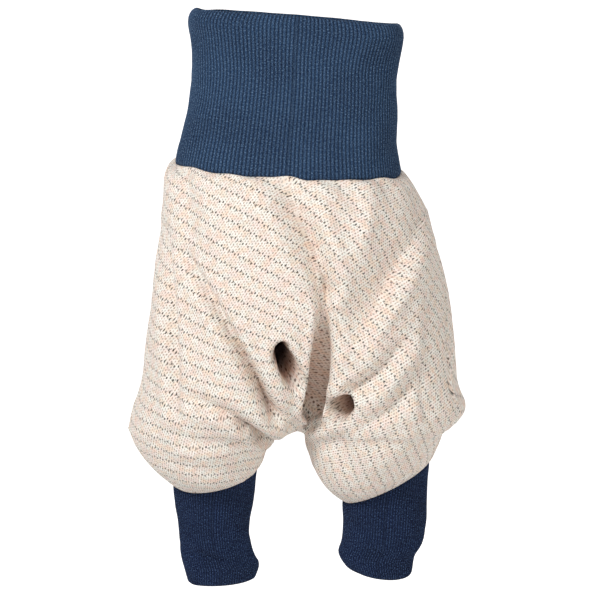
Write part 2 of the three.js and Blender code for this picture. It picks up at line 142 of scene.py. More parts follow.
# Folds in the body cloth, as seen from the front (face -1) or the back (face 1). Each runs through
# three points in X and Z. depth1 to depth3 are how far it sinks there (less than 0 for a raised
# fold). near and far are its widths on the two sides of its line: left and right of a line that
# runs down, and below and above a line that runs to the right.
FOLD_COLUMNS = "name face x1 z1 x2 z2 x3 z3 depth1 depth2 depth3 near far"
FOLDS = table(FOLD_COLUMNS, [
    ("left side", -1, -99, -112, -95, -176, -91, -240, 4, 9, 5, 4.5, 4.5),
    ("left edge", -1, -105, -216, -106, -245, -101, -274, 1, 2.5, 1, 6, 6),
    ("left hip", -1, -85, -68, -82, -92, -78, -124, 4, 4, 2, 6, 8),
    ("left long", -1, -84, -127, -49, -184, -17, -244, 4, 13, 19, 4.5, 3.5),
    ("left low", -1, -82, -230, -53, -242, -26, -266, 2, 8, 14, 3.5, 5),
    ("left hem", -1, -110, -268, -84, -283, -47, -287, 0, 3, 1, 7, 7),
    ("left strip", -1, -29, -190, -18, -214, -7, -243, 0, -2.5, -2, 5, 5),
    ("centre top", -1, -8, -77, 7, -112, 19, -149, 8, 14, 13, 11, 6.5),
    ("centre low", -1, 17, -138, 14, -192, 5, -243, 0, 17, 23, 3.5, 8),
    ("centre branch", -1, 2, -72, 8, -83, 13, -97, 3, 3.5, 1.5, 4, 5),
    ("right edge", -1, 47, -75, 49, -99, 43, -122, -2.5, -3.5, -1.5, 6, 7),
    ("right broad", -1, 84, -116, 66, -147, 40, -191, 4, 12, 7, 20, 5),
    ("right crest", -1, 98, -134, 71, -160, 47, -195, -1, -3, -2, 9, 11),
    ("right upper", -1, 36, -223, 54, -211, 73, -190, 9, 7, 3, 6, 4),
    ("right lower", -1, 45, -252, 70, -232, 88, -205, 1, 7, 3, 7, 5),
    ("right flank", -1, 100, -130, 93, -182, 89, -235, 1.5, 3, 2.5, 4, 14),
    ("right shin", -1, 25, -256, 31, -272, 38, -292, 1, 2.5, 1, 6, 7),
    ("back centre", 1, 4, -92, -10, -165, 2, -250, 0, 6, 8, 11, 12),
    ("back right long", 1, 84, -120, 58, -186, 20, -246, 0, 5, 7, 12, 12),
    ("back left long", 1, -92, -135, -62, -190, -18, -240, 0, 6, 6, 12, 12),
    ("back right low", 1, 96, -222, 66, -244, 30, -262, 0, 4, 5, 10, 11),
    ("back left low", 1, -104, -230, -74, -250, -34, -266, 0, 4, 4, 10, 10),
    ("back broad", 1, -44, -84, -40, -120, -28, -160, 2, 4, 1, 15, 15),
])

# Smaller creases that only the fine mesh can hold, in the same columns.
CREASES = table(FOLD_COLUMNS, [
    ("pocket lip", -1, -12, -186, -1, -196, 2, -223, -1, -3, -1.5, 4, 3.5),
    ("pocket corner", -1, -25, -189, -17, -185, -10, -187, 0, -1.5, -1, 3, 3),
    ("valley crest", -1, 23, -147, 22, -174, 15, -214, -1, -2.5, -1, 3.5, 6),
    ("left notch", -1, -43, -251, -34, -259, -27, -267, 1, 4, 5, 3, 3.5),
    ("crotch right", -1, 23, -248, 16, -252, 9, -256, 2, 5, 5, 4, 4),
    ("crotch left", -1, -12, -234, -9, -244, -5, -252, 0, 2, 2, 4, 4),
    ("right pocket brow", -1, 16, -228, 26, -223, 37, -223, -1, -2.5, -1, 4, 4),
    ("right pocket base", -1, 20, -252, 30, -252, 40, -247, -1, -2, -1, 5, 5),
    ("left leg upper", -1, -98, -232, -76, -243, -50, -250, 0, -2, -1, 4, 5),
    ("left leg middle", -1, -104, -252, -76, -261, -52, -262, 0, 2.2, 0, 5, 5),
    ("left inner", -1, -65, -260, -49, -265, -32, -265, 0, 2, 1, 4, 4),
    ("left belly", -1, -90, -100, -72, -132, -53, -158, 0, 1.5, 0, 9, 9),
    ("centre left", -1, -6, -119, 4, -141, 8, -167, 0, -1.5, -1, 5, 5),
    ("waist tuck left", -1, -48, -70, -45, -77, -43, -87, 1.5, 1.5, 0, 5, 5),
    ("waist tuck right", -1, 28, -72, 30, -80, 30, -91, 1.5, 1.5, 0, 4, 5),
    ("right top crease", -1, 60, -72, 66, -82, 75, -93, 2, 1.5, 0, 5, 5),
    ("right low soft", -1, 48, -264, 60, -261, 75, -250, 0, 2, 1, 7, 7),
    ("right hem soft", -1, 53, -293, 70, -286, 88, -271, 0, 1.5, 0, 6, 6),
    ("back notch left", 1, -50, -250, -38, -257, -24, -265, 1, 3, 4, 4, 4),
    ("back notch right", 1, 52, -246, 36, -255, 20, -262, 1, 3, 4, 4, 4),
    ("back seat left", 1, -96, -120, -74, -148, -60, -180, 0, 2.5, 0, 7, 7),
    ("back seat right", 1, 84, -98, 72, -126, 66, -160, 0, 2.5, 0, 8, 7),
    ("back hem left", 1, -100, -276, -76, -284, -50, -284, 0, 2, 0, 5, 5),
    ("back hem right", 1, 98, -262, 80, -280, 56, -288, 0, 2, 0, 5, 5),
])

# Deep pockets of shadow where two folds part, as ellipses on the front: middle, half length, half
# width, turn of the long axis from upright towards +X in degrees, and depth.
POCKETS = table("name x z long wide turn depth", [
    ("left pocket", -6.8, -209.5, 18, 8, -22, 44),
    ("left pocket top", -13.5, -197, 6, 10, -72, 26),
    ("right pocket", 27.5, -238.5, 12, 9.5, 50, 44),
])


def column(rows, name, at):
    """A table's column at fractional rows, on a curve that never overshoots between two rows."""
    value = np.array([row[name] for row in rows], float)
    step = np.diff(value)
    before, after = step[:-1], step[1:]
    same = before * after > 0
    between = np.where(same, 2 * before * after / np.where(same, before + after, 1), 0)
    slope = np.concatenate([step[:1], between, step[-1:]])
    i = np.minimum(np.floor(at).astype(int), len(value) - 2)
    f = at - i
    bend = f * f * (3 - 2 * f)
    rise = f * (1 - f) * ((1 - f) * slope[i] - f * slope[i + 1])
    return value[i] + (value[i + 1] - value[i]) * bend + rise


def power(value, exponent):
    return np.sign(value) * np.abs(value) ** exponent


def smooth(low, high, value):
    share = np.clip((value - low) / (high - low), 0, 1)
    return share * share * (3 - 2 * share)


def by_length(curves, shares):
    """Each curve (rows, samples, 3) read at its row of shares of its length."""
    step = np.linalg.norm(np.diff(curves, axis=1), axis=2)
    along = np.concatenate([np.zeros((len(curves), 1)), np.cumsum(step, axis=1)], axis=1)
    result = np.empty((*shares.shape, 3))
    for r in range(len(curves)):
        for k in range(3):
            result[r, :, k] = np.interp(shares[r] * along[r, -1], along[r], curves[r, :, k])
    return result, along[:, -1]


def unit(vectors):
    return vectors / np.maximum(np.linalg.norm(vectors, axis=-1, keepdims=True), 1e-12)


def fine_rows(rows, first, last, spacing):
    """Fractional rows about spacing apart, measured on the outline between columns first and last."""
    result = []
    for i in range(len(rows) - 1):
        down = rows[i + 1]["z"] - rows[i]["z"]
        out = max(abs(rows[i + 1][name] - rows[i][name]) for name in (first, last))
        count = max(1, round(math.hypot(down, out) / spacing))
        result.extend(i + k / count for k in range(count))
    return np.array(result + [len(rows) - 1.0])


def side_table(side):
    """The body's rings on one side (-1 left, 1 right), from the waist down to the cuff."""
    torso = []
    for r in TORSO:
        reach = side * ((r["left"] if side < 0 else r["right"]) - r["middle"])
        a = reach / (1 + r["cleft"])
        torso.append({
            **r, "a": a, "cx": r["middle"] + side * r["cleft"] * a,
            "seam": r["leftSeam"] if side < 0 else r["rightSeam"], "pivot": (r["left"] + r["right"]) / 2,
            "outer": r["left"] if side < 0 else r["right"], "inner": r["middle"],
        })
    leg = []
    for r in LEFT_LEG if side < 0 else RIGHT_LEG:
        cx = (r["outer"] + r["inner"]) / 2
        leg.append({**r, "a": abs(r["outer"] - r["inner"]) / 2, "cx": cx, "cleft": 1, "pivot": cx})
    return torso + leg


SIDES = (-1, 1)
SIDE_TABLES = {side: side_table(side) for side in SIDES}
CROTCH_ROW = len(TORSO) - 1
BODY_ROWS = fine_rows(SIDE_TABLES[-1], "outer", "front", ROW_SPACING)
CROTCH_RING = int(np.argmin(np.abs(BODY_ROWS - CROTCH_ROW)))
COLUMNS = FRONT_COLUMNS + BACK_COLUMNS


def half_rings(side):
    """The points of one side's half rings (rows, columns, 3), before any fold."""
    rows = SIDE_TABLES[side]
    names = "z a cx cleft front back lean pitch pivot square seam".split()
    value = {name: column(rows, name, BODY_ROWS)[:, None] for name in names}
    start = np.arccos(np.clip(value["cleft"], 0, 1) ** (value["square"] / 2))
    angle = start + np.linspace(0, 1, CURVE_SAMPLES)[None, :] * 2 * (math.pi - start)
    half_depth = (value["back"] - value["front"]) / 2
    x = value["cx"] - side * value["a"] * power(np.cos(angle), 2 / value["square"])
    y = -half_depth * power(np.sin(angle), 2 / value["square"])
    z = value["z"] + value["lean"] * (x - value["pivot"]) + value["pitch"] * y
    curves = np.stack([x, y + (value["front"] + value["back"]) / 2, z], axis=-1)
    k = np.arange(COLUMNS + 1)[None, :]
    ahead = np.minimum(1, k / FRONT_COLUMNS) ** CROWDING
    behind = np.clip((COLUMNS - k) / BACK_COLUMNS, 0, 1) ** CROWDING
    shares = np.where(k < FRONT_COLUMNS, value["seam"] * ahead, 1 - (1 - value["seam"]) * behind)
    return by_length(curves, shares)


def welded_ids():
    """For each grid point of both sides, the number of the point that it shares."""
    count = len(BODY_ROWS) * (COLUMNS + 1)
    ids = np.arange(2 * count).reshape(2, len(BODY_ROWS), COLUMNS + 1)
    ids[1, :CROTCH_RING + 1, 0] = ids[0, :CROTCH_RING + 1, 0]
    ids[1, :CROTCH_RING + 1, -1] = ids[0, :CROTCH_RING + 1, -1]
    for s in (0, 1):
        ids[s, CROTCH_RING:, -1] = ids[s, CROTCH_RING:, 0]
    return ids


def grid_normals(points, ids):
    """Unit normals that face outwards, shared by the points that are welded."""
    total = np.zeros((ids.size, 3))
    for s, side in enumerate(SIDES):
        p = points[s]
        cross = side * np.cross(p[1:, 1:] - p[:-1, :-1], p[:-1, 1:] - p[1:, :-1])
        for a, b in ((slice(None, -1), slice(None, -1)), (slice(1, None), slice(None, -1)),
                     (slice(1, None), slice(1, None)), (slice(None, -1), slice(1, None))):
            np.add.at(total, ids[s][a, b].ravel(), cross.reshape(-1, 3))
    return unit(total)[ids]


# How sharply a fold turns at its lowest line: 2 is round, and 1 is a crease. Cloth that lies between these two depths
# in mm under its unfolded place goes from no painted shade to full: its colour is darkened in deep folds and pockets
# where shade falls.
FOLD_BEND = 1.6
PAINTED_SHADE_DEPTHS = (6, 42)


def fold_rise(fold, x, z):
    """How far a fold moves the cloth outwards at points of the front or back view."""
    s = np.linspace(0, 1, 17)
    weight = np.stack([(1 - s) * (1 - 2 * s), 4 * s * (1 - s), s * (2 * s - 1)])
    px = fold["x1"] * weight[0] + fold["x2"] * weight[1] + fold["x3"] * weight[2]
    pz = fold["z1"] * weight[0] + fold["z2"] * weight[1] + fold["z3"] * weight[2]
    depth = fold["depth1"] * weight[0] + fold["depth2"] * weight[1] + fold["depth3"] * weight[2]
    reach = 4 * max(fold["near"], fold["far"])
    inside = (x > px.min() - reach) & (x < px.max() + reach)
    inside &= (z > pz.min() - reach) & (z < pz.max() + reach)
    rise = np.zeros(x.shape)
    qx, qz = x[inside][:, None], z[inside][:, None]
    dx, dz = np.diff(px)[None, :], np.diff(pz)[None, :]
    along = np.clip(((qx - px[:-1]) * dx + (qz - pz[:-1]) * dz) / (dx * dx + dz * dz), 0, 1)
    gap_x, gap_z = qx - px[:-1] - along * dx, qz - pz[:-1] - along * dz
    gap = np.hypot(gap_x, gap_z)
    nearest = np.argmin(gap, axis=1)[:, None]
    gap = np.take_along_axis(gap, nearest, 1)[:, 0]
    gap_x = np.take_along_axis(gap_x, nearest, 1)[:, 0]
    along = np.take_along_axis(along, nearest, 1)[:, 0]
    gap_z = np.take_along_axis(gap_z, nearest, 1)[:, 0]
    turn = dx[0, nearest[:, 0]] * gap_z - dz[0, nearest[:, 0]] * gap_x
    here = depth[nearest[:, 0]] * (1 - along) + depth[nearest[:, 0] + 1] * along
    width = np.where(turn < 0, fold["near"], fold["far"])
    trough = np.exp(-((gap / width) ** FOLD_BEND))
    shoulder = 0.2 * np.exp(-(((gap - 2 * width) / width) ** 2))
    rise[inside] = here * (shoulder - trough)
    return rise


def pocket_rise(pocket, x, z):
    turn = math.radians(pocket["turn"])
    along = (x - pocket["x"]) * math.sin(turn) + (z - pocket["z"]) * math.cos(turn)
    across = (x - pocket["x"]) * math.cos(turn) - (z - pocket["z"]) * math.sin(turn)
    out = np.hypot(along / pocket["long"], across / pocket["wide"])
    return -pocket["depth"] * (1 - smooth(0.6, 1.1, out))


def ripple(points, seed, waves, longest, shortest, height):
    """A soft uneven height at each point, from a seeded sum of waves between two wavelengths."""
    draw = np.random.default_rng(seed)
    total = np.zeros(points.shape[:-1])
    for _ in range(waves):
        way = draw.normal(size=3)
        way *= 2 * math.pi / draw.uniform(shortest, longest) / np.linalg.norm(way)
        total += np.sin(points @ way + draw.uniform(0, 2 * math.pi))
    return height * total / math.sqrt(waves)


def gathers(points):
    """Short uneven tucks where the cloth is eased into the waistband and into the cuffs."""
    draw = np.random.default_rng(11)
    rise = np.zeros(points.shape[:-1])
    for s in (0, 1):
        turn = np.arctan2(points[s, ..., 1], points[s, ..., 0])
        low = points[s, -1, :, :].mean(axis=0)
        around = np.arctan2(points[s, ..., 1] - low[1], points[s, ..., 0] - low[0])
        from_waist = np.linalg.norm(points[s] - points[s, :1], axis=-1)
        from_hem = np.linalg.norm(points[s] - points[s, -1:], axis=-1)
        ends = ((turn, from_waist, (9, 26), 1.1), (around, from_hem, (8, 22), 1.3))
        for angle, near, reach_range, size in ends:
            for centre in np.arange(-math.pi, math.pi, 0.21):
                middle = centre + draw.uniform(-0.07, 0.07)
                width = draw.uniform(0.035, 0.07)
                reach = draw.uniform(*reach_range)
                depth = draw.uniform(0.2, 1) * size
                apart = (angle - middle + math.pi) % (2 * math.pi) - math.pi
                tuck = depth * np.exp(-((apart / width) ** 2)) * np.exp(-((near / reach) ** 2))
                rise[s] -= tuck * smooth(0, 2, near)
    return rise


def seam_wave(points):
    """The height by which the waist seam strays from its even line."""
    turn = np.arctan2(points[..., 1], points[..., 0] + 7)
    return 0.7 * np.sin(7 * turn + 0.6) + 0.5 * np.sin(12 * turn + 2.1) + 0.35 * np.sin(19 * turn)


def folded_body(share):
    """The body's points with every fold pressed in by a share of its depth, their normals, their welded numbers and a
    painted shade mask from 0 to 1, by how deep they lie in folds and pockets."""
    ids = welded_ids()
    points = np.stack([half_rings(side)[0] for side in SIDES])
    plain = grid_normals(points, ids)
    x, z = points[..., 0].ravel(), points[..., 2].ravel()
    rise = np.zeros(x.shape)
    facing = plain[..., 1].ravel()
    for fold in FOLDS + CREASES:
        rise += fold_rise(fold, x, z) * smooth(-0.2, 0.2, fold["face"] * facing)
    for pocket in POCKETS:
        rise += pocket_rise(pocket, x, z) * smooth(-0.2, 0.2, -facing)
    rise = rise.reshape(points.shape[:-1])
    rise += ripple(points, 3, 14, 70, 34, 0.55) + ripple(points, 5, 18, 26, 13, 0.16)
    from_waist = np.linalg.norm(points - points[:, :1], axis=-1)
    from_ends = np.minimum(from_waist, np.linalg.norm(points - points[:, -1:], axis=-1))
    rise *= share * smooth(0, 5, from_ends)
    # Painted shade mask: how deep the cloth lies in folds and pockets, which darkens its colour in the shader.
    painted_shade_mask = smooth(*PAINTED_SHADE_DEPTHS, -rise)
    rise += gathers(points) * share
    seam = np.linalg.norm(points - points[:, :, FRONT_COLUMNS:FRONT_COLUMNS + 1], axis=-1)
    rise -= 0.8 * np.exp(-((seam / 1.3) ** 2))
    points = points + plain * rise[..., None]
    near_waist = np.exp(-((np.linalg.norm(points - points[:, :1], axis=-1) / 6) ** 2))
    points[..., 2] += near_waist * seam_wave(points)
    return points, grid_normals(points, ids), ids, painted_shade_mask


def closed_grid(outer, normals, wall, ids, flip):
    """Vertices and quads of a closed shell from an outer grid (parts, rows, columns)."""
    used, place = np.unique(ids, return_inverse=True)
    place = place.reshape(ids.shape)
    count = len(used)
    first = np.full(ids.max() + 1, -1)
    first[ids.ravel()[::-1]] = np.arange(ids.size)[::-1]
    top = outer.reshape(-1, 3)[first[used]]
    under = top - normals.reshape(-1, 3)[first[used]] * wall
    quads = []
    for s in range(ids.shape[0]):
        a, b = place[s, :-1, :-1].ravel(), place[s, 1:, :-1].ravel()
        c, d = place[s, 1:, 1:].ravel(), place[s, :-1, 1:].ravel()
        face = np.stack([a, b, c, d], axis=1)
        quads.append(face[:, ::-1] if flip[s] else face)
    quads = np.concatenate(quads)
    sides = np.concatenate([np.stack([quads[:, k], quads[:, (k + 1) % 4]], axis=1) for k in range(4)])
    key = sides[:, 0].astype(np.int64) * count + sides[:, 1]
    back = sides[:, 1].astype(np.int64) * count + sides[:, 0]
    rim = sides[~np.isin(key, back)]
    walls = np.stack([rim[:, 1], rim[:, 0], rim[:, 0] + count, rim[:, 1] + count], axis=1)
    return np.concatenate([top, under]), np.concatenate([quads, quads[:, ::-1] + count, walls]), first[used]


def mesh_object(name, points, quads, uv, painted_shade_mask=None):
    """A smooth-shaded object from millimetre points, with the cloth's UV map and, if given, the painted shade mask for
    deep folds.
    """
    mesh = bpy.data.meshes.new(name)
    mesh.vertices.add(len(points))
    place = (points + np.array([WAIST_SHIFT, 0, 0])) * MM
    mesh.vertices.foreach_set("co", place.astype(np.float32).ravel())
    corners = quads.shape[1]
    mesh.loops.add(quads.size)
    mesh.loops.foreach_set("vertex_index", quads.astype(np.int32).ravel())
    mesh.polygons.add(len(quads))
    mesh.polygons.foreach_set("loop_start", np.arange(0, quads.size, corners, dtype=np.int32))
    mesh.update(calc_edges=True)
    mesh.validate()
    mesh.polygons.foreach_set("use_smooth", np.ones(len(mesh.polygons), bool))
    layer = mesh.uv_layers.new(name="cloth")
    index = np.empty(len(mesh.loops), np.int32)
    mesh.loops.foreach_get("vertex_index", index)
    layer.data.foreach_set("uv", (uv[index] * MM).astype(np.float32).ravel())
    # The painted shade mask for deep folds, which the body's material reads.
    if painted_shade_mask is not None:
        mesh.attributes.new("painted_shade_mask", "FLOAT", "POINT").data.foreach_set("value", painted_shade_mask.astype(np.float32))
    piece = bpy.data.objects.new(name, mesh)
    bpy.context.scene.collection.objects.link(piece)
    return piece


# The way that the pattern's rows run on the front, as the angle down to the right of the view.
ROW_ANGLES = table("z x angle", [
    (-78, -89, 41), (-78, -69, 35), (-96, -89, 36), (-96, -69, 35), (-96, -49, 32), (-96, -30, 33),
    (-96, -11, 50), (-96, 9, 52), (-96, 28, 56), (-96, 47, 62), (-96, 67, 67), (-96, 88, 72),
    (-115, -89, 35), (-115, -49, 32), (-115, -30, 30), (-115, -12, 30), (-115, 9, 52),
    (-115, 28, 56), (-115, 47, 67), (-115, 67, 71), (-115, 88, 40), (-134, -89, 32),
    (-134, -49, 29), (-134, -30, 27), (-134, -12, 25), (-134, 9, 57), (-134, 28, 59),
    (-134, 47, 66), (-134, 66, 72), (-134, 88, 40), (-154, -89, 25), (-154, -69, 19),
    (-154, -49, 25), (-154, -30, 24), (-154, -11, 20), (-154, 9, 60), (-154, 28, 64),
    (-154, 47, 66), (-154, 66, 50), (-154, 87, 43), (-173, -89, 25), (-173, -69, 18),
    (-173, -49, 21), (-173, -30, 16), (-173, -11, 16), (-173, 12, 66), (-173, 28, 65),
    (-173, 47, 53), (-173, 66, 43), (-173, 86, 52), (-193, -89, 25), (-193, -69, 18),
    (-193, -49, 12), (-193, -30, 10), (-193, 14, 74), (-193, 28, 60), (-193, 47, 48),
    (-193, 66, 45), (-193, 86, 62), (-212, -110, 23), (-212, -89, 24), (-212, -69, 14),
    (-212, -49, 8), (-212, -30, 2), (-212, 28, 58), (-212, 47, 52), (-212, 67, 60), (-212, 86, 70),
    (-212, 108, 80), (-232, -110, 17), (-232, -89, 18), (-232, -69, 0), (-232, -49, 4),
    (-232, -30, -4), (-232, 28, 70), (-232, 47, 66), (-232, 67, 66), (-232, 86, 74),
    (-252, -110, 18), (-252, -89, 17), (-252, -69, -2), (-252, -49, -8), (-252, 28, 78),
    (-252, 48, 72), (-252, 67, 74), (-252, 87, 67), (-274, -89, 12), (-274, -69, -7),
    (-274, -50, -16), (-274, 28, 79), (-274, 48, 76), (-274, 67, 74), (-274, 87, 70),
])
ANGLE_REACH = 11


def row_angle(x, z):
    """The pattern's angle in radians between the places where it is known."""
    total, weights = 0, 0
    for spot in ROW_ANGLES:
        weight = ((x - spot["x"]) ** 2 + (z - spot["z"]) ** 2 + ANGLE_REACH ** 2) ** -2.0
        total, weights = total + weight * spot["angle"], weights + weight
    return np.radians(total / weights)


FRONT, BACK = 1, -1


def cloth_coordinates(points, normals, side, weld_column):
    """The place of each point on the flat cloth, along and across the pattern's rows, in mm. Both
    are the least-squares fit to the way the rows run, measured on the folded surface."""
    view_x = points[..., 0] * side
    angle = row_angle(view_x, points[..., 2])
    facing = np.where(np.abs(normals[..., 1]) < 0.12, -0.12 * side, normals[..., 1])
    way_x, way_z = side * np.cos(angle), -np.sin(angle)
    way_y = -(normals[..., 0] * way_x + normals[..., 2] * way_z) / facing
    along = unit(np.stack([way_x, way_y, way_z], axis=-1))
    level = unit(np.cross((0, 0, 1), normals))
    turned = np.cos(angle)[..., None] * level - np.sin(angle)[..., None] * np.cross(normals, level)
    seen = smooth(*SEEN_RANGE, np.abs(normals[..., 1]))[..., None]
    along = unit(seen * along + (1 - seen) * turned)
    across = np.cross(normals, along)
    trust = np.clip(np.abs(normals[..., 1]), LEAST_TRUST, 1) ** 2
    for line in SWALLOWED:
        if line["face"] * side < 0:
            gap = fold_rise(line, points[..., 0].ravel(), points[..., 2].ravel()).reshape(trust.shape)
            trust = trust * np.clip(1 + gap, 0.01, 1)
    cloth = Cloth(points, along, across, trust, weld_column)
    flat = []
    for wanted, weights in (((1, 0), (1, 0.4)), ((0, 1), (CROSS_WEIGHT, 1))):
        wanted = np.array(wanted, float)[:, None, None, None]
        h = cloth.lay_out(wanted, weights, None)
        for _ in range(EVEN_ROUNDS):
            here = np.stack(cloth.slopes(h))
            here = here / np.maximum(np.hypot(*here), 1e-6) + KEPT_WAY * wanted
            h = cloth.lay_out(here / np.maximum(np.hypot(*here), 1e-6), (1, 1), h)
        flat.append(h)
    flat = np.stack(flat, axis=-1)
    return flat / cloth.scale(flat)


# Where the cloth faces sideways the rows follow the surface, and no longer the front view. Such
# cloth also counts less.
SEEN_RANGE = (0.3, 0.65)
LEAST_TRUST = 0.4

# How much more a row keeps its direction than its distance from the next row.
CROSS_WEIGHT = 1.5

# Lines where deep folds swallow cloth, so that the rows needn't meet across them. The columns are
# those of the folds, with the share that is swallowed as the depth.
SWALLOWED = table(FOLD_COLUMNS, [
    ("centre top", -1, -13, -66, 3, -112, 18, -149, 1, 1, 1, 1.8, 1.8),
    ("centre low", -1, 18, -149, 15, -200, 6, -256, 1, 1, 1, 1.8, 1.8),
    ("right broad", -1, 98, -98, 66, -147, 34, -200, 1, 1, 1, 1.8, 1.8),
    ("right upper", -1, 30, -226, 54, -211, 80, -182, 1, 1, 1, 1.8, 1.8),
    ("left long", -1, -64, -162, -40, -200, -14, -252, 0.5, 1, 1, 1.8, 1.8),
    ("left low", -1, -88, -228, -53, -242, -24, -268, 0.5, 1, 1, 1.8, 1.8),
    ("back centre", 1, 4, -80, -10, -165, 2, -256, 1, 1, 1, 1.8, 1.8),
])


def corner_mean(values):
    return (values[:, :-1, :-1] + values[:, 1:, :-1] + values[:, :-1, 1:] + values[:, 1:, 1:]) / 4


class Cloth:
    """Least squares over the cells of both halves of a panel (2, rows, columns)."""

    def __init__(self, points, along, across, trust, weld_column):
        self.shape = trust.shape
        self.weld = tuple((s, slice(None, CROTCH_RING + 1), weld_column) for s in (0, 1))
        along, across = corner_mean(along), corner_mean(across)
        down, round_ = self.steps(points)
        self.a, self.b = (down * along).sum(-1), (down * across).sum(-1)
        self.c, self.d = (round_ * along).sum(-1), (round_ * across).sum(-1)
        size = self.a * self.d - self.b * self.c
        self.size = np.where(np.abs(size) < 0.05, np.where(size < 0, -0.05, 0.05), size)
        self.trust = corner_mean(trust)

    @staticmethod
    def steps(h):
        """The steps down and round of each cell, from its four corners."""
        down = (h[:, 1:, :-1] - h[:, :-1, :-1] + h[:, 1:, 1:] - h[:, :-1, 1:]) / 2
        round_ = (h[:, :-1, 1:] - h[:, :-1, :-1] + h[:, 1:, 1:] - h[:, 1:, :-1]) / 2
        return down, round_

    def slopes(self, h):
        """How steeply h rises along and across the rows, in each cell."""
        down, round_ = self.steps(h)
        return (self.d * down - self.b * round_) / self.size, (self.a * round_ - self.c * down) / self.size

    def spread(self, along, across):
        """The reverse of slopes: what each cell's two values give to its four corners."""
        down = (self.d * along - self.c * across) / self.size / 2
        round_ = (self.a * across - self.b * along) / self.size / 2
        out = np.zeros(self.shape)
        out[:, :-1, :-1] -= down + round_
        out[:, 1:, :-1] += down - round_
        out[:, :-1, 1:] += round_ - down
        out[:, 1:, 1:] += down + round_
        return out

    def scale(self, flat):
        """The mean size of the two slopes of a laid-out cloth."""
        return [np.average(np.hypot(*self.slopes(flat[..., k])), weights=self.trust) for k in (0, 1)]

    def pull(self, h, weight_along, weight_across):
        along, across = self.slopes(h)
        out = self.spread(self.trust * weight_along * along, self.trust * weight_across * across)
        for axis in (1, 2):
            bend = np.diff(h, axis=axis) * SMOOTHING
            low = [slice(None)] * 3
            high = [slice(None)] * 3
            low[axis], high[axis] = slice(None, -1), slice(1, None)
            out[tuple(low)] -= bend
            out[tuple(high)] += bend
        first, second = self.weld
        apart = 5.0 * (h[second] - h[first])
        out[second] += apart
        out[first] -= apart
        return out

    def lay_out(self, wanted, weights, start):
        """The h with the wanted slopes, by conjugate gradients."""
        load = self.spread(self.trust * weights[0] * wanted[0], self.trust * weights[1] * wanted[1])
        h = np.zeros(self.shape) if start is None else start
        rest = load - self.pull(h, *weights)
        step = rest.copy()
        size = (rest * rest).sum()
        for _ in range(LAYOUT_ROUNDS):
            pulled = self.pull(step, *weights)
            share = size / (step * pulled).sum()
            h = h + share * step
            rest = rest - share * pulled
            new_size = (rest * rest).sum()
            if new_size < 1e-5:
                break
            step = rest + new_size / size * step
            size = new_size
        return h


# Settings of the layout: how strongly neighbouring points hold together, the share of the folds'
# depth on the form that is laid out, the rounds that even out the slopes, how much the wanted way
# counts in them, and the most steps of the solver.
SMOOTHING = 0.0006
LAID_SHARE = 0.5
EVEN_ROUNDS = 1
KEPT_WAY = 1.5
LAYOUT_ROUNDS = 1000


# Rib knit: the distance between two ribs in the material, the ribs round each tube, how far a rib
# stands out of its groove, and the fine mesh: columns for each rib, the distance between rings, the
# radius of the folded edge and the places of the extra rings that round it.
RIB_PITCH = 2.6
WAIST_RIBS = 164
CUFF_RIBS = 84
RIB_RELIEF = 0.6
RIB_COLUMNS = 5
RING_SPACING = 2.3
EDGE_ROUND = 1.6
EDGE_RINGS = (0.12, 0.28, 0.5, 0.75)


def ring_points(rows, at, columns):
    """A tube's rings (rows, columns, 3) from its table at fractional rows, evenly spread round."""
    names = "z left right front back lean pitch square".split()
    value = {name: column(rows, name, at)[:, None] for name in names}
    turn = np.linspace(0, 2 * math.pi, 4 * columns + 1)[None, :]
    a, b = (value["right"] - value["left"]) / 2, (value["back"] - value["front"]) / 2
    x = a * power(np.sin(turn), 2 / value["square"])
    y = -b * power(np.cos(turn), 2 / value["square"])
    z = value["z"] + value["lean"] * x + value["pitch"] * y
    x = x + (value["left"] + value["right"]) / 2
    y = y + (value["front"] + value["back"]) / 2
    curve = np.stack([x, y, z], axis=-1)
    shares = np.linspace(0, 1, columns + 1)[None, :-1].repeat(len(at), axis=0)
    return by_length(curve, shares)[0]


def ring_normals(points):
    """Outward unit normals of a tube's grid of rings that runs down and round towards +X."""
    round_ = np.roll(points, -1, axis=1) - np.roll(points, 1, axis=1)
    down = np.gradient(points, axis=0)
    normal = unit(np.cross(down, round_))
    centre = points.mean(axis=1, keepdims=True)
    if ((points - centre) * normal).sum() < 0:
        normal = -normal
    return normal


def rib_profile(columns, ribs):
    """The height of the ribs above their grooves, round a ring: full ribs and narrow grooves."""
    turn = np.arange(columns) / columns * ribs * 2 * math.pi
    wave = (1 + np.cos(turn)) / 2
    return wave ** 0.7


def edge_rings(at, edge_row_is_top):
    """The rings with some more beside the folded edge."""
    edge, beside = (at[0], at[1]) if edge_row_is_top else (at[-1], at[-2])
    return np.sort(np.concatenate([at, [edge + (beside - edge) * share for share in EDGE_RINGS]]))


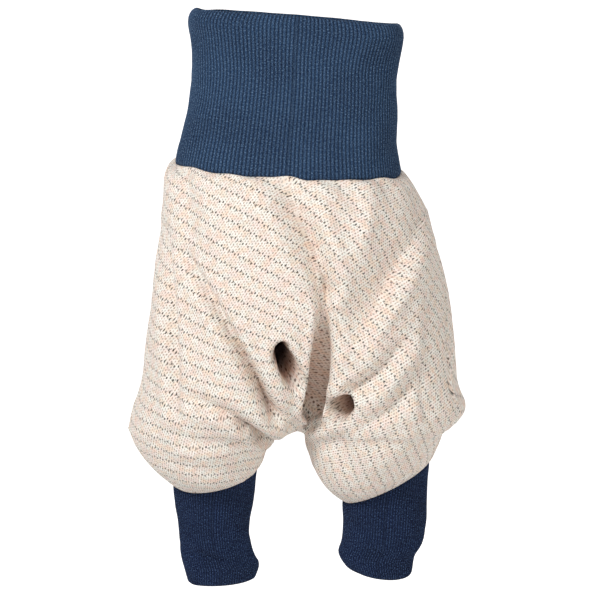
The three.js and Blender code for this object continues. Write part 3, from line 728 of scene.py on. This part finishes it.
def rib_tube(rows, ribs, dents, seed, edge_row_is_top, seam_shift):
    """A rib tube: the points of its outer side, its inner side and how far each ring lies down from the folded edge,
    in mm. The ribs stand lower next to the folded edge and the seam."""
    columns = ribs * RIB_COLUMNS
    at = edge_rings(fine_rows(rows, "left", "right", RING_SPACING), edge_row_is_top)
    points = ring_points(rows, at, columns)
    if seam_shift is not None:
        seam_row = -1 if edge_row_is_top else 0
        points = points.copy()
        near = np.exp(-((np.abs(points[..., 2] - points[seam_row][None, :, 2]) / 6) ** 2))
        points[..., 2] += near * seam_shift(points[seam_row])[None, :]
    normal = ring_normals(points)
    steps = np.linalg.norm(np.diff(points, axis=0), axis=2)
    down = np.concatenate([np.zeros((1, columns)), np.cumsum(steps, axis=0)])
    rise = ripple(points, seed, 12, 60, 28, 0.6) + ripple(points, seed + 1, 12, 20, 10, 0.12)
    for dent in dents:
        turn = np.arctan2(points[..., 1], points[..., 0] - points[..., 0].mean())
        apart = (turn - math.radians(dent["turn"]) + math.pi) % (2 * math.pi) - math.pi
        height = points[..., 2] - dent["z"] - dent["slope"] * apart
        across = np.exp(-((apart / math.radians(dent["width"])) ** 2))
        rise -= dent["depth"] * across * np.exp(-((height / dent["height"]) ** 2))
    edge = down if edge_row_is_top else down[-1:] - down
    seam = down[-1:] - down if edge_row_is_top else down
    rise -= 0.55 * np.exp(-((seam / 1.5) ** 2))
    outer = points + normal * rise[..., None]
    ribs_here = rib_profile(columns, ribs)[None, :] * (0.35 + 0.65 * smooth(0, 1.6, seam))
    ribs_here = ribs_here * (0.55 + 0.45 * smooth(0, 2.5, edge))
    outer_ribbed = outer + normal * ((ribs_here - 0.5) * RIB_RELIEF)[..., None]
    inner = outer - normal * (RIB_WALL + (ribs_here - 0.5)[..., None] * RIB_RELIEF * 0.8)
    return outer_ribbed, inner, edge


def rib_piece(name, rows, ribs, dents, seed, edge_row_is_top, seam_shift=None):
    """The closed rib tube with a rounded folded edge, made of one grid that runs over the edge."""
    outer, inner, edge = rib_tube(rows, ribs, dents, seed, edge_row_is_top, seam_shift)
    columns = outer.shape[1]
    if not edge_row_is_top:
        outer, inner, edge = outer[::-1], inner[::-1], edge[::-1]
    along = unit(outer[0] - outer[2])
    middle = (outer + inner) / 2
    half = (outer - inner) / 2
    rounding = np.sqrt(np.clip(1 - ((EDGE_ROUND - edge) / EDGE_ROUND) ** 2, 0, 1))
    share = np.where(edge < EDGE_ROUND, np.maximum(rounding, 0.25), 1)[..., None]
    outer, inner = middle + half * share, middle - half * share
    crown = middle[0] + along * 0.25
    grid = np.concatenate([inner[::-1], crown[None], outer])
    height = np.concatenate([-edge[::-1], np.zeros((1, columns)), edge])
    rows_in_grid, count = grid.shape[0], columns
    index = np.arange(rows_in_grid * count).reshape(rows_in_grid, count)
    nxt = np.roll(index, -1, axis=1)
    quads = np.stack([index[:-1], index[1:], nxt[1:], nxt[:-1]], axis=-1).reshape(-1, 4)
    close = np.stack([index[-1], index[0], nxt[0], nxt[-1]], axis=-1).reshape(-1, 4)
    quads = np.concatenate([quads, close])
    if not edge_row_is_top:
        quads = quads[:, ::-1]
    across = np.arange(count) * RIB_PITCH / RIB_COLUMNS
    flat = np.stack([np.broadcast_to(across, grid.shape[:2]), height], axis=-1)
    return mesh_object(name, grid.reshape(-1, 3), quads, flat.reshape(-1, 2))


def add(tree, kind, inputs=None, **settings):
    """A new shader node with its settings made and its inputs linked or given a value."""
    made = tree.nodes.new(kind)
    for name, value in settings.items():
        setattr(made, name, value)
    for key, value in (inputs or {}).items():
        if isinstance(value, bpy.types.NodeSocket):
            tree.links.new(value, made.inputs[key])
        else:
            made.inputs[key].default_value = value
    return made


def calc(tree, operation, *values):
    return add(tree, "ShaderNodeMath", dict(enumerate(values)), operation=operation).outputs[0]


def blend(tree, share, first, second):
    return add(tree, "ShaderNodeMix", {0: share, 6: first, 7: second}, data_type="RGBA").outputs[2]


def step_up(tree, value, low, high):
    """Rises softly from 0 at low to 1 at high."""
    inputs = {"Value": value, "From Min": low, "From Max": high, "To Min": 0.0, "To Max": 1.0}
    return add(tree, "ShaderNodeMapRange", inputs, interpolation_type="SMOOTHSTEP").outputs["Result"]


def shades(tree, value, colours, even=True):
    """A colour picked from a list by a value between 0 and 1."""
    ramp = add(tree, "ShaderNodeValToRGB", {"Fac": value})
    ramp.color_ramp.interpolation = "CONSTANT" if even else "LINEAR"
    marks = ramp.color_ramp.elements
    for i, colour in enumerate(colours):
        at = i / len(colours) if even else i / (len(colours) - 1)
        mark = marks[i] if i < 2 else marks.new(at)
        mark.position = at
        mark.color = linear(colour)
    return ramp.outputs["Color"]


def linear(colour):
    """A colour in the linear values that a shader takes, from 0 to 255 as a screen shows it."""
    def one(c):
        c = c / 255
        return c / 12.92 if c <= 0.04045 else ((c + 0.055) / 1.055) ** 2.4
    return tuple(one(c) for c in colour) + (1.0,)


# The jacquard's lattices of dashes in mm: the distance between bands, the distance between dashes,
# how much higher every second dash stands, and half a dash's width and length. In the strong one
# dark and brown bands take turns.
STRONG = {"band": 4.3, "pitch": 2.35, "step": 1.0, "half_width": 0.47, "half_length": 0.92, "shift": 0.0}
FAINT = {"band": 2.15, "pitch": 1.8, "step": 0.9, "half_width": 0.38, "half_length": 0.72, "shift": 0.5}
DASH_LEAN = 0.1
STITCH_WIDTH = 1.25
STITCH_HEIGHT = 1.15

CREAM = (255, 252, 246)
DARK_YARNS = [(14, 16, 24), (28, 30, 32), (16, 34, 38), (26, 34, 24), (38, 28, 22), (10, 12, 16), (20, 26, 44)]
BROWN_YARNS = [(196, 150, 126), (182, 146, 124), (206, 160, 134), (200, 148, 138), (172, 152, 136)]
FAINT_YARNS = [(168, 148, 132), (180, 156, 134), (156, 146, 138), (174, 148, 138), (154, 152, 146)]

# Soft patches of colour in the ground, one over the other.
PEACH = (251, 220, 192)
ROSE = (248, 216, 210)
MINT = (228, 240, 232)
PEACH_SHARE = 0.55
ROSE_SHARE = 0.4
MINT_SHARE = 0.3
FAINT_COVER = 1.0
BROWN_COVER = 0.4
STITCH_SHADE = 0.14
GAP_SHADE = (186, 164, 148)
# Painted shade in deep folds and pockets, blended in by the painted shade mask: a warm brown in troughs and a near
# black in the deepest pockets.
PAINTED_TROUGH_SHADE = (208, 144, 112)
PAINTED_TROUGH_SHARE = 0.42
PAINTED_HOLLOW_SHADE = (42, 20, 30)
PAINTED_HOLLOW_SHARE = 0.92

NAVY_DARK = (26, 46, 76)
NAVY_MID = (54, 84, 120)
NAVY_FLECK = (112, 142, 176)
# A darker copy of the navy rib for the cuffs: painted shade for the light that falls off towards them.
NAVY_PAINTED_SHADE_DARK = (4, 10, 34)
NAVY_PAINTED_SHADE_MID = (24, 40, 80)
NAVY_PAINTED_SHADE_FLECK = (88, 116, 158)
# Painted shade in the grooves between the ribs.
GROOVE_PAINTED_SHADE = (10, 14, 30)


def dashes(tree, across, down, lattice):
    """Where a lattice's dashes are, the number of each band and two chances for each dash."""
    band_at = calc(tree, "ADD", calc(tree, "DIVIDE", down, lattice["band"]), lattice["shift"])
    band = calc(tree, "FLOOR", band_at)
    cell_at = calc(tree, "ADD", calc(tree, "DIVIDE", across, lattice["pitch"]), lattice["shift"])
    cell = calc(tree, "FLOOR", cell_at)
    step = lattice["step"]
    step = calc(tree, "MULTIPLY_ADD", calc(tree, "FLOORED_MODULO", cell, 2.0), step, -step / 2)
    v = calc(tree, "MULTIPLY_ADD", calc(tree, "SUBTRACT", calc(tree, "FRACT", band_at), 0.5), lattice["band"], step)
    u = calc(tree, "MULTIPLY", calc(tree, "SUBTRACT", calc(tree, "FRACT", cell_at), 0.5), lattice["pitch"])
    leaning = calc(tree, "MULTIPLY_ADD", v, DASH_LEAN, u)
    wide = calc(tree, "POWER", calc(tree, "DIVIDE", calc(tree, "ABSOLUTE", leaning), lattice["half_width"]), 2.0)
    long = calc(tree, "POWER", calc(tree, "DIVIDE", calc(tree, "ABSOLUTE", v), lattice["half_length"]), 4.0)
    dash = calc(tree, "SUBTRACT", 1.0, step_up(tree, calc(tree, "ADD", wide, long), 0.5, 1.4))
    spot = add(tree, "ShaderNodeCombineXYZ", {0: cell, 1: band}).outputs[0]
    chance = add(tree, "ShaderNodeTexWhiteNoise", {"Vector": spot}, noise_dimensions="2D").outputs
    return dash, band, chance["Value"], add(tree, "ShaderNodeSeparateXYZ", {0: chance["Color"]}).outputs[1]


def jacquard(name):
    material = bpy.data.materials.new(name)
    material.use_nodes = True
    tree = material.node_tree
    shader = tree.nodes["Principled BSDF"]
    uv = add(tree, "ShaderNodeUVMap", uv_map="cloth").outputs["UV"]
    stray = add(tree, "ShaderNodeTexNoise", {"Vector": uv, "Scale": 170.0, "Detail": 2.0}).outputs["Color"]
    drift = add(tree, "ShaderNodeSeparateXYZ", {0: stray}).outputs
    flat = add(tree, "ShaderNodeSeparateXYZ", {0: uv}).outputs
    across = calc(tree, "MULTIPLY_ADD", drift[0], 0.7, calc(tree, "MULTIPLY", flat[0], 1000.0))
    down = calc(tree, "MULTIPLY_ADD", drift[1], 0.7, calc(tree, "MULTIPLY", flat[1], 1000.0))

    strong, band, strong_pick, strong_chance = dashes(tree, across, down, STRONG)
    faint, _, faint_pick, faint_chance = dashes(tree, across, down, FAINT)
    dark_band = calc(tree, "LESS_THAN", calc(tree, "FLOORED_MODULO", band, 2.0), 0.5)
    strong_yarn = blend(tree, dark_band, shades(tree, strong_pick, BROWN_YARNS), shades(tree, strong_pick, DARK_YARNS))
    faint_yarn = shades(tree, faint_pick, FAINT_YARNS)
    weight = calc(tree, "MULTIPLY_ADD", dark_band, 1.0 - BROWN_COVER, BROWN_COVER)
    weight = calc(tree, "MULTIPLY", weight, calc(tree, "MULTIPLY_ADD", strong_chance, 0.3, 0.7))
    cover = calc(tree, "MULTIPLY", strong, weight)
    faint_weight = calc(tree, "MULTIPLY_ADD", faint_chance, 0.5 * FAINT_COVER, 0.5 * FAINT_COVER)
    faint_cover = calc(tree, "MULTIPLY", faint, faint_weight)

    patches = add(tree, "ShaderNodeTexNoise", {"Vector": uv, "Scale": 190.0, "Detail": 1.0}).outputs["Color"]
    patches = add(tree, "ShaderNodeSeparateXYZ", {0: patches}).outputs
    ground = linear(CREAM)
    for patch, tint, share in zip(patches, (PEACH, ROSE, MINT), (PEACH_SHARE, ROSE_SHARE, MINT_SHARE)):
        strength = calc(tree, "MULTIPLY", step_up(tree, patch, 0.42, 0.66), share)
        ground = blend(tree, strength, ground, linear(tint))
    colour = blend(tree, faint_cover, ground, faint_yarn)
    colour = blend(tree, cover, colour, strong_yarn)

    wale = calc(tree, "COSINE", calc(tree, "MULTIPLY", across, 2 * math.pi / STITCH_WIDTH))
    course = calc(tree, "COSINE", calc(tree, "MULTIPLY", down, 2 * math.pi / STITCH_HEIGHT))
    stitch = calc(tree, "MULTIPLY_ADD", calc(tree, "MULTIPLY", wale, course), 0.5, 0.5)
    loops = add(tree, "ShaderNodeTexNoise", {"Vector": uv, "Scale": 1100.0, "Detail": 2.0}).outputs["Fac"]
    gaps = calc(tree, "MULTIPLY", calc(tree, "SUBTRACT", 1.0, stitch), STITCH_SHADE)
    colour = blend(tree, gaps, colour, linear(GAP_SHADE))
    # Painted shade: the colour turns warm brown in troughs and near black in the deepest pockets, by how deep the
    # cloth lies.
    painted_shade_mask = add(tree, "ShaderNodeAttribute", attribute_name="painted_shade_mask").outputs["Fac"]
    trough = calc(tree, "MULTIPLY", calc(tree, "MINIMUM", calc(tree, "MULTIPLY", painted_shade_mask, 2.2), 1.0), PAINTED_TROUGH_SHARE)
    colour = blend(tree, trough, colour, linear(PAINTED_TROUGH_SHADE))
    painted_hollow_shade = calc(tree, "MULTIPLY", calc(tree, "POWER", painted_shade_mask, 2.5), PAINTED_HOLLOW_SHARE)
    colour = blend(tree, painted_hollow_shade, colour, linear(PAINTED_HOLLOW_SHADE))
    relief = calc(tree, "ADD", calc(tree, "MULTIPLY_ADD", cover, -0.5, loops), stitch)
    bump = add(tree, "ShaderNodeBump", {"Strength": 0.5, "Distance": 0.0003, "Height": relief}).outputs["Normal"]
    tree.links.new(colour, shader.inputs["Base Color"])
    tree.links.new(bump, shader.inputs["Normal"])
    shader.inputs["Roughness"].default_value = 0.9
    shader.inputs["Specular IOR Level"].default_value = 0.2
    shader.inputs["Sheen Weight"].default_value = 0.12
    shader.inputs["Sheen Roughness"].default_value = 0.5
    return material


def rib_knit(name, dark, mid, fleck):
    material = bpy.data.materials.new(name)
    material.use_nodes = True
    tree = material.node_tree
    shader = tree.nodes["Principled BSDF"]
    uv = add(tree, "ShaderNodeUVMap", uv_map="cloth").outputs["UV"]
    flat = add(tree, "ShaderNodeSeparateXYZ", {0: uv}).outputs
    turn = calc(tree, "MULTIPLY", flat[0], 2 * math.pi * 1000.0 / RIB_PITCH)
    ridge = calc(tree, "MULTIPLY_ADD", calc(tree, "COSINE", turn), 0.5, 0.5)
    drawn = add(tree, "ShaderNodeCombineXYZ", {0: flat[0], 1: calc(tree, "MULTIPLY", flat[1], 0.4)}).outputs[0]
    heather = add(tree, "ShaderNodeTexNoise", {"Vector": drawn, "Scale": 1500.0, "Detail": 2.0}).outputs["Fac"]
    flecks = add(tree, "ShaderNodeTexNoise", {"Vector": drawn, "Scale": 2300.0, "Detail": 1.0}).outputs["Fac"]
    cloud = add(tree, "ShaderNodeTexNoise", {"Vector": uv, "Scale": 28.0, "Detail": 2.0}).outputs["Fac"]
    mixed = calc(tree, "ADD", calc(tree, "MULTIPLY", step_up(tree, heather, 0.3, 0.7), 0.6),
                 calc(tree, "MULTIPLY", step_up(tree, cloud, 0.35, 0.65), 0.25))
    yarn = blend(tree, mixed, linear(dark), linear(mid))
    light = calc(tree, "MULTIPLY", step_up(tree, flecks, 0.5, 0.66), 0.7)
    yarn = blend(tree, light, yarn, linear(fleck))
    # Painted shade: the yarn darkens towards the groove colour between the ribs, where shade falls.
    shade = blend(tree, calc(tree, "MULTIPLY", calc(tree, "POWER", calc(tree, "SUBTRACT", 1.0, ridge), 1.4), 0.72),
                  yarn, linear(GROOVE_PAINTED_SHADE))
    vee = calc(tree, "MULTIPLY_ADD", ridge, 0.5, calc(tree, "DIVIDE", flat[1], 0.00125))
    loops = calc(tree, "COSINE", calc(tree, "MULTIPLY", vee, 2 * math.pi))
    relief = calc(tree, "MULTIPLY_ADD", heather, 1.2, calc(tree, "MULTIPLY", loops, 0.3))
    bump = add(tree, "ShaderNodeBump", {"Strength": 0.9, "Distance": 0.0003, "Height": relief}).outputs["Normal"]
    tree.links.new(shade, shader.inputs["Base Color"])
    tree.links.new(bump, shader.inputs["Normal"])
    shader.inputs["Roughness"].default_value = 0.88
    shader.inputs["Specular IOR Level"].default_value = 0.1
    shader.inputs["Sheen Weight"].default_value = 0.03
    shader.inputs["Sheen Roughness"].default_value = 0.5
    return material


# The cloth body: one folded grid, cut into a front and a back panel at the side and inner seams.
body, body_normals, body_ids, body_painted_shade_mask = folded_body(1)
laid_body, laid_normals = folded_body(LAID_SHARE)[:2]


def body_panel(name, first, last, side, weld_column, material):
    part = (slice(None), slice(None), slice(first, last + 1))
    points, normals, ids = body[part], body_normals[part], body_ids[part]
    flat = cloth_coordinates(laid_body[part], laid_normals[part], side, weld_column)
    places, quads, used = closed_grid(points, normals, BODY_WALL, ids, (True, False))
    flat = flat.reshape(-1, 2)[used]
    # The painted shade mask of the panel, the same on its outer and inner side.
    painted_shade_mask = body_painted_shade_mask[part].ravel()[used]
    piece = mesh_object(name, places, quads, np.concatenate([flat, flat]), np.concatenate([painted_shade_mask, painted_shade_mask]))
    piece.data.materials.append(material)
    return piece


body_knit = jacquard("cream jacquard")
front_cloth = body_panel("front_cloth", 0, FRONT_COLUMNS, FRONT, 0, body_knit)
back_cloth = body_panel("back_cloth", FRONT_COLUMNS, COLUMNS, BACK, -1, body_knit)

# Soft dents in the rib tubes: the direction from the tube's middle (-90 is the front), the height,
# the rise per radian, the width in degrees, the height of the dent and its depth.
DENT_COLUMNS = "turn z slope width height depth"
WAIST_DENTS = table(DENT_COLUMNS, [
    (-118, -6, 18, 24, 16, 1.0),
    (-70, -38, -12, 22, 13, 0.9),
    (-96, 30, 8, 40, 9, 0.8),
    (60, -10, 10, 26, 18, 1.0),
    (128, -34, -14, 24, 14, 0.9),
])
LEFT_CUFF_DENTS = table(DENT_COLUMNS, [
    (-95, -359, -5, 60, 2.6, 3.0),
    (-60, -351, 6, 50, 3, 1.2),
    (-125, -322, 8, 40, 7, 1.0),
    (-60, -338, -6, 34, 6, 0.8),
    (80, -350, 4, 60, 4, 1.2),
])
RIGHT_CUFF_DENTS = table(DENT_COLUMNS, [
    (-112, -340, -9, 46, 5, 1.4),
    (-62, -352, 10, 40, 4, 1.1),
    (-90, -324, 8, 40, 6, 0.9),
    (85, -344, 6, 60, 5, 1.1),
])

navy_rib = rib_knit("navy rib", NAVY_DARK, NAVY_MID, NAVY_FLECK)
navy_rib_painted_shade = rib_knit("navy rib painted shade", NAVY_PAINTED_SHADE_DARK, NAVY_PAINTED_SHADE_MID, NAVY_PAINTED_SHADE_FLECK)
waistband_cloth = rib_piece("waistband_cloth", WAISTBAND, WAIST_RIBS, WAIST_DENTS, 21, True, seam_wave)
left_cuff_cloth = rib_piece("left_cuff_cloth", LEFT_CUFF, CUFF_RIBS, LEFT_CUFF_DENTS, 31, False)
right_cuff_cloth = rib_piece("right_cuff_cloth", RIGHT_CUFF, CUFF_RIBS, RIGHT_CUFF_DENTS, 41, False)

# Each piece with its node, its material slot, and its cut laid flat: width, length and area in m.
CUTS = table("piece node slot width length area held hangs_from", [
    (front_cloth, "front_panel", "body_knit", 0.42, 0.28, 0.09, "gathered", "waistband_cloth"),
    (back_cloth, "back_panel", "body_knit", 0.42, 0.28, 0.09, "gathered", "waistband_cloth"),
    (waistband_cloth, "waistband", "rib_knit", 0.43, 0.118, 0.0507, "stretched", ""),
    (left_cuff_cloth, "left_cuff", "rib_knit", 0.17, 0.083, 0.0141, "stretched", "front_cloth back_cloth"),
    (right_cuff_cloth, "right_cuff", "rib_knit", 0.17, 0.07, 0.0119, "stretched", "front_cloth back_cloth"),
])
for cut in CUTS:
    piece = cut["piece"]
    if cut["slot"] == "rib_knit":
        # The cuffs take the darker copy of the navy rib, which is painted shade.
        piece.data.materials.append(navy_rib if piece is waistband_cloth else navy_rib_painted_shade)
    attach(piece, "root")
    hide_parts(cut["node"])


# Studio: a plain pale floor that curves up into a backdrop, soft light and the photograph's camera.
FLOOR_Z = -0.62
SWEEP = table("y z", [
    (-3.0, 0), (-1.5, 0), (0.75, 0), (1.1, 0.03), (1.5, 0.14), (1.8, 0.34), (2.0, 0.62), (2.1, 1.0), (2.12, 3.2),
])
PLAIN_FLOOR_STRIPS = 2
SWEEP_HALF_WIDTH = 4.0


def backdrop():
    mesh = bpy.data.meshes.new("floor")
    points = [(x, row["y"], FLOOR_Z + row["z"]) for row in SWEEP for x in (-SWEEP_HALF_WIDTH, SWEEP_HALF_WIDTH)]
    faces = [(2 * i, 2 * i + 1, 2 * i + 3, 2 * i + 2) for i in range(len(SWEEP) - 1)]
    mesh.from_pydata(points, [], faces)
    mesh.polygons.foreach_set("use_smooth", [True] * len(faces))
    for name, glow in (("paper", 0.0), ("lit paper", BACKDROP_GLOW)):
        material = bpy.data.materials.new(name)
        material.use_nodes = True
        shader = material.node_tree.nodes["Principled BSDF"]
        shader.inputs["Base Color"].default_value = linear((246, 246, 246))
        shader.inputs["Roughness"].default_value = 0.95
        shader.inputs["Emission Color"].default_value = (1, 1, 1, 1)
        shader.inputs["Emission Strength"].default_value = glow
        mesh.materials.append(material)
    mesh.polygons.foreach_set("material_index", [int(i >= PLAIN_FLOOR_STRIPS) for i in range(len(faces))])
    floor = bpy.data.objects.new("floor", mesh)
    bpy.context.scene.collection.objects.link(floor)
    return floor


def soft_light(name, place, target, size, watts, colour):
    light = bpy.data.lights.new(name, "AREA")
    light.shape = "SQUARE"
    light.size = size
    light.energy = watts
    light.color = colour
    lamp = bpy.data.objects.new(name, light)
    lamp.location = place
    lamp.rotation_euler = (Vector(target) - Vector(place)).to_track_quat("-Z", "Y").to_euler()
    bpy.context.scene.collection.objects.link(lamp)


BACKDROP_GLOW = 0.7
WORLD_STRENGTH = 0.3
MIDDLE = (WAIST_SHIFT * MM, 0, -0.166)
LIGHTS = table("name place size watts colour", [
    ("key", (-0.8, -1.3, 0.8), 0.5, 17.2, (1, 0.985, 0.965)),
    ("near", (-0.65, -0.65, 0.3), 0.3, 1.2, (1, 0.985, 0.965)),
    ("fill", (1.3, -1.2, 0.2), 1.0, 7.5, (1, 0.955, 0.9)),
])
CAMERA_DISTANCE = 1.5
CAMERA_HEIGHT_ANGLE = 6

backdrop()
for light in LIGHTS:
    soft_light(light["name"], light["place"], MIDDLE, light["size"], light["watts"], light["colour"])

world = bpy.data.worlds.new("studio")
world.use_nodes = True
world.node_tree.nodes["Background"].inputs["Color"].default_value = (1, 0.965, 0.93, 1)
world.node_tree.nodes["Background"].inputs["Strength"].default_value = WORLD_STRENGTH
bpy.context.scene.world = world

camera_data = bpy.data.cameras.new("camera")
camera_data.lens = 120
camera_data.sensor_width = 36
camera = bpy.data.objects.new("camera", camera_data)
rise = math.radians(CAMERA_HEIGHT_ANGLE)
camera.location = Vector(MIDDLE) + CAMERA_DISTANCE * Vector((0, -math.cos(rise), math.sin(rise)))
camera.rotation_euler = (Vector(MIDDLE) - camera.location).to_track_quat("-Z", "Y").to_euler()
bpy.context.scene.collection.objects.link(camera)
bpy.context.scene.camera = camera
bpy.context.scene.view_settings.view_transform = "Standard"
bpy.context.scene.view_settings.look = "None"
